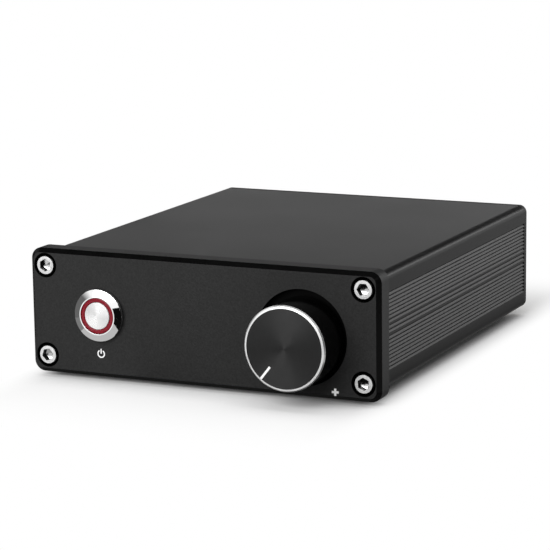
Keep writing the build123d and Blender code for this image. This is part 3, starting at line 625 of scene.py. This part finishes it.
front_screws = socket_screws(
    "panel_screws",
    [
        (0, HEAD_FACE, 0),
        (2.0, HEAD_FACE, 0.03),
        (2.06, HEAD_FACE + 0.07, 0.03),
        (2.36, HEAD_FACE + 0.07, 0.05),
        (HEAD_RADIUS, HEAD_FACE + 0.37, 0.1),
        (HEAD_RADIUS, HEAD_SEAT, 0.1),
        (THREAD_RADIUS, HEAD_SEAT, 0),
        (THREAD_RADIUS, THREAD_END, 0.2),
        (0, THREAD_END, 0),
    ],
    # the outer edge of each head and the shank take the painted-shade steel
    [head_finish.material] * 3 + [socket_shade_finish.material] * 5,
    [
        (0, HEAD_FACE - BEYOND, 0),
        (SOCKET_RADIUS, HEAD_FACE - BEYOND, 0),
        (SOCKET_RADIUS, SOCKET_FLOOR, 0),
        (0, SOCKET_TIP, 0),
    ],
    # the socket walls take the painted-shade steel, the floor plain steel
    [socket_shade_finish.material, socket_shade_finish.material, socket_floor_finish.material],
)
fit(front_screws, "case", "bright_steel", "front_screws")

# --- volume knob ----------------------------------------------------------------------
KNOB_FACE = -68.6
KNOB_BACK = -55.5
KNOB_RADIUS = 11.1
KNOB_BACK_EDGE = 0.3
KNOB_SIDES = 256
CUT_START = 10.3  # radius at which the bright cut begins, and the pointer ends
SKIRT_RADIUS = 6.8
SKIRT_FLOOR = KNOB_BACK - 3.3
SHAFT_BORE = 3.05
BORE_END = KNOB_BACK - 10.4
POINTER_START = 6.2
POINTER_HALF = 0.3
POINTER_DEPTH = 0.3
POINTER_TURN = math.radians(38.5)
SET_SCREW_DEPTH = 6.1  # behind the knob's face
SET_SCREW_HOLE = 1.55
SET_SCREW_START = 5
SET_SCREW_LENGTH = 8
SET_SCREW_SIDES = 48
pointer_way = Vector((-math.sin(POINTER_TURN), 0, -math.cos(POINTER_TURN)))
pointer_side = Vector((math.cos(POINTER_TURN), 0, -math.sin(POINTER_TURN)))
knob_centre = Vector((KNOB_AXIS[0], 0, KNOB_AXIS[1]))
anodised = finishes["knob_black"].material

knob = turned(
    "volume_knob",
    KNOB_AXIS,
    [
        (0, KNOB_FACE, 0),
        (CUT_START, KNOB_FACE, 0.03),
        (10.78, KNOB_FACE + 0.24, 0.03),
        (KNOB_RADIUS, KNOB_FACE + 0.55, 0.05),
        (KNOB_RADIUS, KNOB_BACK - KNOB_BACK_EDGE, 0.1),
        (KNOB_RADIUS - KNOB_BACK_EDGE, KNOB_BACK, 0.1),
        (SKIRT_RADIUS, KNOB_BACK, 0.1),
        (SKIRT_RADIUS, SKIRT_FLOOR, 0.1),
        (SHAFT_BORE, SKIRT_FLOOR, 0.1),
        (SHAFT_BORE, BORE_END, 0.1),
        (0, BORE_END, 0),
    ],
    [knob_face_finish.material, knob_cut_finish.material, knob_rim_finish.material]
    + [anodised] * 7,
    closed=False,
    sides=KNOB_SIDES,
)
pocket_front = knob_centre + Vector((0, KNOB_FACE - BEYOND, 0))
pocket_corners = [
    pocket_front + pointer_way * along + pointer_side * aside
    for along, aside in (
        (POINTER_START, -POINTER_HALF),
        (CUT_START, -POINTER_HALF),
        (CUT_START, POINTER_HALF),
        (POINTER_START, POINTER_HALF),
    )
]
pocket = block("pocket", pocket_corners, (0, BEYOND + POINTER_DEPTH, 0))
hole_start = knob_centre + Vector((0, KNOB_FACE + SET_SCREW_DEPTH, 0)) + pointer_way * SET_SCREW_START
hole_corners = []
for i in range(SET_SCREW_SIDES):
    angle = 2 * math.pi * i / SET_SCREW_SIDES
    across = pointer_side * SET_SCREW_HOLE * math.cos(angle)
    hole_corners.append(hole_start + across + Vector((0, SET_SCREW_HOLE * math.sin(angle), 0)))
hole = block("hole", hole_corners, pointer_way * SET_SCREW_LENGTH)
cut(knob, pocket, hole)
fit(knob, "knob", "knob_black", "knob")

# --- power button ---------------------------------------------------------------------
LIP = -58.85
BEZEL_BORE = 4.83
BEZEL_RADIUS = 6.97
BEZEL_BACK = -57.5
BARREL_RADIUS = 6.0
BARREL_END = -41.0
RING_INNER = 3.68
RING_OUTER = 4.78
RING_FACE = -58.78
RING_SHOULDER = -58.6
RING_BACK = -52.25
CAP_FACE = -58.8
CAP_RADIUS = 3.61
CAP_EDGE = 0.08
CAP_BACK = -54.05
bezel = turned(
    "button_bezel",
    BUTTON_AXIS,
    [
        (BEZEL_BORE, LIP, 0.04),
        (5.15, LIP, 0.04),
        (6.87, -58.25, 0.06),
        (BEZEL_RADIUS, -58.15, 0.06),
        (BEZEL_RADIUS, BEZEL_BACK, 0.06),
        (BARREL_RADIUS, BEZEL_BACK, 0.05),
        (BARREL_RADIUS, BARREL_END, 0.2),
        (BEZEL_BORE, BARREL_END, 0.1),
    ],
    [finishes["polished_steel"].material],
)
fit(bezel, "case", "polished_steel", "button_housing")

light_ring = turned(
    "button_ring",
    BUTTON_AXIS,
    [
        (RING_INNER, RING_SHOULDER, 0.04),
        (3.86, RING_FACE, 0.2),
        (4.6, RING_FACE, 0.2),
        (RING_OUTER, RING_SHOULDER, 0.04),
        (RING_OUTER, RING_BACK, 0.1),
        (RING_INNER, RING_BACK, 0.1),
    ],
    [finishes["red_lens"].material],
)
fit(light_ring, "case", "red_lens", "button_light_ring")

cap = turned(
    "button_face",
    BUTTON_AXIS,
    [
        (0, CAP_FACE, 0),
        (CAP_RADIUS - CAP_EDGE, CAP_FACE, 0.04),
        (CAP_RADIUS, CAP_FACE + CAP_EDGE, 0.04),
        (CAP_RADIUS, CAP_BACK, 0.1),
        (0, CAP_BACK, 0),
    ],
    [cap_finish.material],
    closed=False,
)
fit(cap, "power_button", "satin_steel", "button_cap")

# the return spring, its back end on the button's base, copied from the imported node and fixed to the
# case
coil = copied("button_coil", "button_spring")
fit(coil, "case", "bright_steel", "button_spring")
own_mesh(coil)

# --- rear panel and its connectors ----------------------------------------------------
REAR_FACE = 60.0
SHELL_END = 58.0
JACK_TIP = 68.6
JACKS = {34.0: "input_left", 20.0: "input_right", -5.0: "output_left", -19.0: "output_right"}
WHITE_JACKS = (34.0, -5.0)
RED_JACKS = (20.0, -19.0)
SUPPLY_AXIS = (-34.0, 16.1)
GROUND_AXIS = (8.0, CASE_MIDDLE)
REAR_SIZE = (97, 30.2)
REAR_CORNER = 2.2
REAR_DRILL_END = 57.5
JACK_HOLE = 5.05
SUPPLY_HOLE = 4.05
GROUND_HOLE = 2.05
REAR_HEAD = 61.7
REAR_SOCKET_RADIUS = 1.155  # of the corners of a hexagon 2 mm across flats
REAR_THREAD_END = 50.0
JACK_BORE = 3.55
JACK_RADIUS = 4.15
JACK_WAIST = 3.98
JACK_NECK = 3.9
JACK_START = 54.0
JACK_SHOULDER = 61.3
DISC_BORE = 2.05
DISC_RADIUS = 3.5
DISC_START = 55.0
DISC_FACE = JACK_TIP - 1.4
SLIT_HALF = (2.5, 0.22)
SLIT_START = 62.0
SLIT_DEPTH = 5.0
NUT_BORE = 2.0
NUT_RADIUS = 4.5
NUT_EDGE = 0.5
NUT_START, NUT_END = 62.5, 67.5
NUT_SIDES = 480
NUT_RIBS = (24, 0.35, 4.12)  # number, depth and least radius
WASHER_BORE = 2.05
WASHER_RADIUS = 4.2
WASHER_START, WASHER_END = 61.6, 62.4

rear = plate(
    "rear_plate",
    *REAR_SIZE,
    REAR_CORNER,
    CASE_MIDDLE,
    [
        (-PLATE_INSET, SHELL_END, 0),
        (0, SHELL_END, 0.05),
        (0, REAR_FACE, 0.18),
        (-PLATE_INSET, REAR_FACE, 0),
    ],
    [panel_finish] * 3,
)
rear_holes = [(place, SCREW_HOLE) for place in SCREW_PLACES]
rear_holes += [((x, CASE_MIDDLE), JACK_HOLE) for x in JACKS]
rear_holes += [(SUPPLY_AXIS, SUPPLY_HOLE), (GROUND_AXIS, GROUND_HOLE)]
drills = [
    drill(axis, radius, REAR_FACE, REAR_DRILL_END, None, panel_finish)
    for axis, radius in rear_holes
]
cut(rear, *drills)
fit(rear, "case", "panel_black", "rear_panel")

oxide = finishes["black_steel"].material
rear_screws = socket_screws(
    "rear_panel_screws",
    [
        (0, REAR_HEAD, 0),
        (THREAD_RADIUS, REAR_HEAD, 0.15),
        (2.2, 61.35, 0.6),
        (2.62, 60.6, 0.5),
        (HEAD_RADIUS, REAR_FACE, 0.08),
        (THREAD_RADIUS, REAR_FACE, 0),
        (THREAD_RADIUS, REAR_THREAD_END, 0.2),
        (0, REAR_THREAD_END, 0),
    ],
    [oxide],
    [
        (0, REAR_HEAD + BEYOND, 0),
        (REAR_SOCKET_RADIUS, REAR_HEAD + BEYOND, 0),
        (REAR_SOCKET_RADIUS, 60.7, 0),
        (0, 60.4, 0),
    ],
    [oxide],
)
fit(rear_screws, "case", "black_steel", "rear_screws")

gold = finishes["gold_plate"].material
for x, side in JACKS.items():
    shell = turned(
        f"{side}_jack",
        (x, CASE_MIDDLE),
        [
            (JACK_BORE, JACK_START, 0.05),
            (JACK_NECK, JACK_START, 0.05),
            (JACK_NECK, JACK_SHOULDER, 0.05),
            (JACK_RADIUS, JACK_SHOULDER, 0.08),
            (JACK_RADIUS, 62.3, 0.06),
            (JACK_WAIST, 62.45, 0.05),
            (JACK_WAIST, 62.75, 0.05),
            (JACK_RADIUS, 62.9, 0.06),
            (JACK_RADIUS, JACK_TIP - 0.3, 0.1),
            (3.85, JACK_TIP, 0.08),
            (3.66, JACK_TIP, 0.06),
            (JACK_BORE, JACK_TIP - 0.12, 0.05),
        ],
        [gold],
    )
    fit(shell, "case", "gold_plate", f"{side}_shell")

for name, places in {"white": WHITE_JACKS, "red": RED_JACKS}.items():
    discs = [
        turned(
            "disc",
            (x, CASE_MIDDLE),
            [
                (DISC_BORE, DISC_START, 0.05),
                (DISC_RADIUS, DISC_START, 0.1),
                (DISC_RADIUS, DISC_FACE, 0.15),
                (2.5, DISC_FACE, 0.1),
                (DISC_BORE, DISC_FACE - 0.4, 0.05),
            ],
            [finishes[f"{name}_plastic"].material],
        )
        for x in places
    ]
    fit(merged(f"{name}_discs", discs), "case", f"{name}_plastic", f"{name}_insulators")

contacts = copied("jack_tulips", "jack_contacts")
slits = []
for x in JACKS:
    for across, along in (SLIT_HALF, SLIT_HALF[::-1]):
        corners = [
            (x + sx * across, SLIT_START, CASE_MIDDLE + sz * along)
            for sx, sz in ((-1, -1), (1, -1), (1, 1), (-1, 1))
        ]
        slits.append(block("slit", corners, (0, SLIT_DEPTH, 0)))
cut(contacts, *slits)
fit(contacts, "case", "gold_plate", "jack_contacts")

nut = turned(
    "ground_nut_knurled",
    GROUND_AXIS,
    [
        (NUT_BORE, NUT_START, 0.05),
        (NUT_RADIUS - NUT_EDGE, NUT_START, 0.06),
        (NUT_RADIUS, NUT_START + NUT_EDGE, 0.1),
        (NUT_RADIUS, NUT_END - NUT_EDGE, 0.1),
        (NUT_RADIUS - NUT_EDGE, NUT_END, 0.06),
        (2.3, NUT_END, 0.05),
        (NUT_BORE, 67.2, 0.05),
    ],
    [gold],
    sides=NUT_SIDES,
    ribs=NUT_RIBS,
)
fit(nut, "ground_thumb_nut", "gold_plate", "ground_thumb_nut")

ground_washer = turned(
    "ground_flat_washer",
    GROUND_AXIS,
    [
        (WASHER_BORE, WASHER_START, 0.08),
        (WASHER_RADIUS, WASHER_START, 0.12),
        (WASHER_RADIUS, WASHER_END, 0.12),
        (WASHER_BORE, WASHER_END, 0.08),
    ],
    [gold],
)
fit(ground_washer, "ground_washer", "gold_plate", "ground_washer")

# --- marks ----------------------------------------------------------------------------
MARK_HEIGHT = 0.012
SIGN_STROKE = 0.62
POWER_STROKE = 0.34
POWER_RADIUS = 0.95
REAR_STROKE = 0.3
SUPPLY_STROKE = 0.28
REAR_STEP = 0.6  # from one bar of the earth sign to the next
SIGNAL_HALF = 1.1  # half the height of an arrow
SIGNAL_LEVEL = 27.6
END_STEPS = 8  # of a line's round end


def stroke(points, width):
    """The outline of a line of some width along (x, z) points, with round ends."""
    left, right = [], []
    for i, (x, z) in enumerate(points):
        before = Vector(points[max(i - 1, 0)])
        after = Vector(points[min(i + 1, len(points) - 1)])
        way = (after - before).normalized()
        aside = Vector((-way.y, way.x)) * width / 2
        left.append(Vector((x, z)) + aside)
        right.append(Vector((x, z)) - aside)
    start, end = Vector(points[0]), Vector(points[-1])
    caps = []
    for middle, edge in ((end, left[-1] - end), (start, right[0] - start)):
        turns = [Matrix.Rotation(-math.pi * k / END_STEPS, 2) for k in range(1, END_STEPS)]
        caps.append([turn @ edge + middle for turn in turns])
    return left + caps[0] + right[::-1] + caps[1]


def arc(centre, radius, degrees):
    """(x, z) points round a centre, at angles from +X."""
    x, z = centre
    turns = [math.radians(angle) for angle in degrees]
    return [(x + radius * math.cos(turn), z + radius * math.sin(turn)) for turn in turns]


def mark(name, outline, face=PANEL_FACE):
    """A flat white mark from an (x, z) outline, on the front or on the back."""
    corners = [(x, face, z) for x, z in outline]
    made = block(name, corners, (0, math.copysign(MARK_HEIGHT, face), 0))
    made.data.materials.append(finishes["white_paint"].material)
    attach(made, "case")


minus_x, plus_x, sign_z = 19.87, 37.65, 3.25
mark("mark_minus", stroke([(minus_x - 0.6, sign_z), (minus_x + 0.6, sign_z)], SIGN_STROKE))
arm, thick = 0.95, SIGN_STROKE / 2
quarter = [(thick, arm), (thick, thick), (arm, thick)]
plus = []
for _ in range(4):
    plus += [(plus_x + x, sign_z + z) for x, z in quarter]
    quarter = [(z, -x) for x, z in quarter]
mark("mark_plus", plus)
power_x, power_z = BUTTON_AXIS[0], 7.55
# a ring open at the top, with a line in its gap
power_arc = arc((power_x, power_z), POWER_RADIUS, range(50, -231, -10))
mark("mark_power_arc", stroke(power_arc, POWER_STROKE))
power_line = [(power_x, power_z + 0.15), (power_x, power_z + 1.2)]
mark("mark_power_line", stroke(power_line, POWER_STROKE))

# on the back: earth beside its post, the supply's polarity, arrows for the way of the signal
ground_x, ground_z = GROUND_AXIS[0], 27.2
stem = stroke([(ground_x, ground_z), (ground_x, ground_z + 1.5)], REAR_STROKE)
mark("mark_earth_stem", stem, REAR_FACE)
for i, reach in enumerate((1.3, 0.85, 0.4)):
    height = ground_z - 0.2 - REAR_STEP * i
    line = stroke([(ground_x - reach, height), (ground_x + reach, height)], REAR_STROKE)
    mark(f"mark_earth_{i}", line, REAR_FACE)
supply_x, supply_z = SUPPLY_AXIS[0], 25.6
supply = (supply_x, supply_z)
mark("mark_supply_pin", arc(supply, 0.5, range(0, 360, 15)), REAR_FACE)
cup = arc(supply, 1.25, range(40, 321, 10))  # open towards +X
mark("mark_supply_sleeve", stroke(cup, SUPPLY_STROKE), REAR_FACE)
for way, start in ((-1, 1.55), (1, 0.85)):
    near = supply_x - way * start
    lead = stroke([(near, supply_z), (near - way * 1.6, supply_z)], SUPPLY_STROKE)
    mark(f"mark_supply_lead_{way + 1}", lead, REAR_FACE)
for name, middle, way in (("in", 27.0, -1), ("out", -12.0, 1)):
    tip, tail = SIGNAL_LEVEL + way * SIGNAL_HALF, SIGNAL_LEVEL - way * SIGNAL_HALF
    point = [(middle, tip), (middle - 0.9, tip - way), (middle + 0.9, tip - way)]
    mark(f"mark_{name}_arrow", point, REAR_FACE)
    stem = stroke([(middle, tail), (middle, tip - 1.2 * way)], REAR_STROKE)
    mark(f"mark_{name}_stem", stem, REAR_FACE)

# --- floor, cards, light and background -----------------------------------------------
AMBIENT = 0.3
SHADOW_REACH = (12, 60)  # over which the floor's shadow fades out, in X and in Y
FOOTPRINT = (43.2, 53)
FOOTPRINT_SHIFT = (0, -7)
FLOOR_SIZE = 6  # in metres


def plane(name, centre, width, height, facing):
    """A flat rectangle for the stage, its face towards `facing`."""
    built = bmesh.new()
    bmesh.ops.create_grid(built, x_segments=1, y_segments=1, size=0.5)
    mesh = bpy.data.meshes.new(name)
    built.to_mesh(mesh)
    built.free()
    made = keep(name, mesh)
    made.scale = (width, height, 1)
    made.location = centre
    made.rotation_mode = "QUATERNION"
    made.rotation_quaternion = Vector(facing).to_track_quat("Z", "Y")
    return made


def seen_directly(tree):
    """1 for a ray that shows the background: straight, mirrored or through glass."""
    path = add_node(tree, "LightPath").outputs
    either = add_node(
        tree, "Math", {0: path["Is Camera Ray"], 1: path["Is Glossy Ray"]}, operation="MAXIMUM"
    )
    return add_node(
        tree, "Math", {0: either.outputs[0], 1: path["Is Transmission Ray"]}, operation="MAXIMUM"
    ).outputs[0]


floor = plane("floor", (0, 0, 0), FLOOR_SIZE, FLOOR_SIZE, (0, 0, 1))
floor_material = bpy.data.materials.new("floor_paper")
floor_material.use_nodes = True
floor_material.cycles.emission_sampling = "NONE"
floor_tree = floor_material.node_tree
floor_tree.nodes.clear()
outside = add_node(floor_tree, "NewGeometry").outputs["Position"]
footprint = (FOOTPRINT[0] * MM, FOOTPRINT[1] * MM, 0)
reach = (1 / (SHADOW_REACH[0] * MM), 1 / (SHADOW_REACH[1] * MM), 0)
for operation, amount in (
    ("ADD", (FOOTPRINT_SHIFT[0] * MM, FOOTPRINT_SHIFT[1] * MM, 0)),
    ("ABSOLUTE", None),
    ("SUBTRACT", footprint),
    ("MAXIMUM", (0, 0, 0)),
    ("MULTIPLY", reach),
):
    step = add_node(floor_tree, "VectorMath", {0: outside}, operation=operation)
    if amount is not None:
        step.inputs[1].default_value = amount
    outside = step.outputs[0]
outside = add_node(floor_tree, "VectorMath", {0: outside}, operation="LENGTH").outputs["Value"]
far = add_node(floor_tree, "MapRange", {"Value": outside}, interpolation_type="SMOOTHSTEP")
bare = {0: far.outputs["Result"], 1: seen_directly(floor_tree)}
share = add_node(floor_tree, "Math", bare, operation="MULTIPLY").outputs[0]
paper = add_node(floor_tree, "BsdfDiffuse", {"Color": grey(0.9)}).outputs[0]
lit = add_node(floor_tree, "Emission", {"Color": grey(1.0), "Strength": 1.0}).outputs[0]
mixed = add_node(floor_tree, "MixShader", {0: share, 1: paper, 2: lit}).outputs[0]
add_node(floor_tree, "OutputMaterial", {"Surface": mixed})
floor.data.materials.append(floor_material)


def card(name, centre, width, height, facing, tone, fade=None):
    """A card beside the set that only shows in reflections. It may fade to white with height."""
    made = plane(name, centre, width, height, facing)
    material = bpy.data.materials.new(name)
    material.use_nodes = True
    material.cycles.emission_sampling = "NONE"
    card_tree = material.node_tree
    card_tree.nodes.clear()
    shown = add_node(card_tree, "Emission", {"Color": grey(1.0), "Strength": tone})
    if fade:
        position = add_node(card_tree, "NewGeometry").outputs["Position"]
        rise = add_node(card_tree, "SeparateXYZ", {0: position}).outputs[2]
        steps = {"From Min": fade[0], "From Max": fade[1], "To Min": tone, "To Max": 1.0}
        level = add_node(card_tree, "MapRange", {"Value": rise, **steps}).outputs[0]
        card_tree.links.new(level, shown.inputs["Strength"])
    add_node(card_tree, "OutputMaterial", {"Surface": shown.outputs[0]})
    made.data.materials.append(material)
    made.visible_camera = False
    made.visible_diffuse = False
    made.visible_transmission = False
    made.visible_shadow = False


card("pale_table", (0.055, 0.0725, 0.0003), 0.31, 0.315, (0, 0, 1), 0.2)
card("dark_front", (0.555, -0.767, 0.0005), 1.2, 1.418, (0, 0, 1), 0.004)
card("pale_apron", (-0.038, -0.079, 0.0008), 0.034, 0.042, (0, 0, 1), 0.5)
card("grey_right", (0.229, 0.2, 0.0006), 0.342, 0.6, (0, 0, 1), 0.54)
card("dark_horizon", (0.8, -1.4, 0.035), 2.0, 0.15, (0, 1, 0), 0.004)
card("grey_left", (-0.4, 0.1, 0.11), 1.2, 0.22, (1, 0, 0), 0.13, fade=(0.1, 0.2))
card("grey_table", (-0.24, 0.1, 0.0006), 0.3, 1.2, (0, 0, 1), 0.13)
card("dark_back", (-1.45, 2.0, 1.76), 3.9, 2.7, (0, -1, 0), 0.02)
card("dark_top_left", (-0.35, -0.2, 0.7), 0.5, 0.5, (0, 0, -1), 0.01)
card("dark_top_right", (0.35, -0.3, 0.7), 0.9, 0.5, (0, 0, -1), 0.01)
card("dark_right", (1.0, -0.6, 0.35), 1.4, 0.7, (-1, 0, 0), 0.01)


def softbox(name, centre, width, height, target, power):
    light = bpy.data.lights.new(name, "AREA")
    light.shape = "RECTANGLE"
    light.size = width
    light.size_y = height
    light.energy = power
    made = bpy.data.objects.new(name, light)
    made.location = centre
    way = Vector(target) - Vector(centre)
    made.rotation_mode = "QUATERNION"
    made.rotation_quaternion = way.to_track_quat("-Z", "Y")
    bpy.context.scene.collection.objects.link(made)
    return made


overhead = softbox("softbox_top", (0.03, 0.0, 0.75), 0.35, 0.9, (0, 0, 0), 2.4)
overhead.visible_glossy = False
softbox("softbox_front", (-0.15, -0.82, 0.5), 0.9, 0.6, (0, 0, 0), 7.0)
softbox("softbox_rim", (0.42, 0.9, 0.33), 0.2, 0.15, (0, 0, 0.02), 0.42)

world = bpy.data.worlds.new("studio")
bpy.context.scene.world = world
world.use_nodes = True
world.cycles.sampling_method = "NONE"
world_tree = world.node_tree
world_tree.nodes.clear()
levels = {"Value": seen_directly(world_tree), "To Min": AMBIENT, "To Max": 1.0}
strength = add_node(world_tree, "MapRange", levels).outputs["Result"]
background = add_node(world_tree, "Background", {"Color": grey(1.0), "Strength": strength})
add_node(world_tree, "OutputWorld", {"Surface": background.outputs[0]})

# --- camera ---------------------------------------------------------------------------
CAMERA_PLACE = (0.274043, -0.607008, 0.152274)
YAW, PITCH, ROLL = (math.radians(angle) for angle in (24.675, 11.215, -0.757))
LENS = 159.79
SENSOR_WIDTH = 36
ahead = Vector((-math.sin(YAW) * math.cos(PITCH), math.cos(YAW) * math.cos(PITCH), -math.sin(PITCH)))
level_right = Vector((math.cos(YAW), math.sin(YAW), 0))
level_up = level_right.cross(ahead)
right = level_right * math.cos(ROLL) + level_up * math.sin(ROLL)
up = level_up * math.cos(ROLL) - level_right * math.sin(ROLL)
camera_data = bpy.data.cameras.new("camera")
camera_data.lens = LENS
camera_data.sensor_width = SENSOR_WIDTH
camera = bpy.data.objects.new("camera", camera_data)
bpy.context.scene.collection.objects.link(camera)
facing = Matrix((right, up, -ahead)).transposed().to_4x4()
camera.matrix_world = Matrix.Translation(CAMERA_PLACE) @ facing
bpy.context.scene.camera = camera

bpy.context.scene.view_settings.view_transform = "Standard"
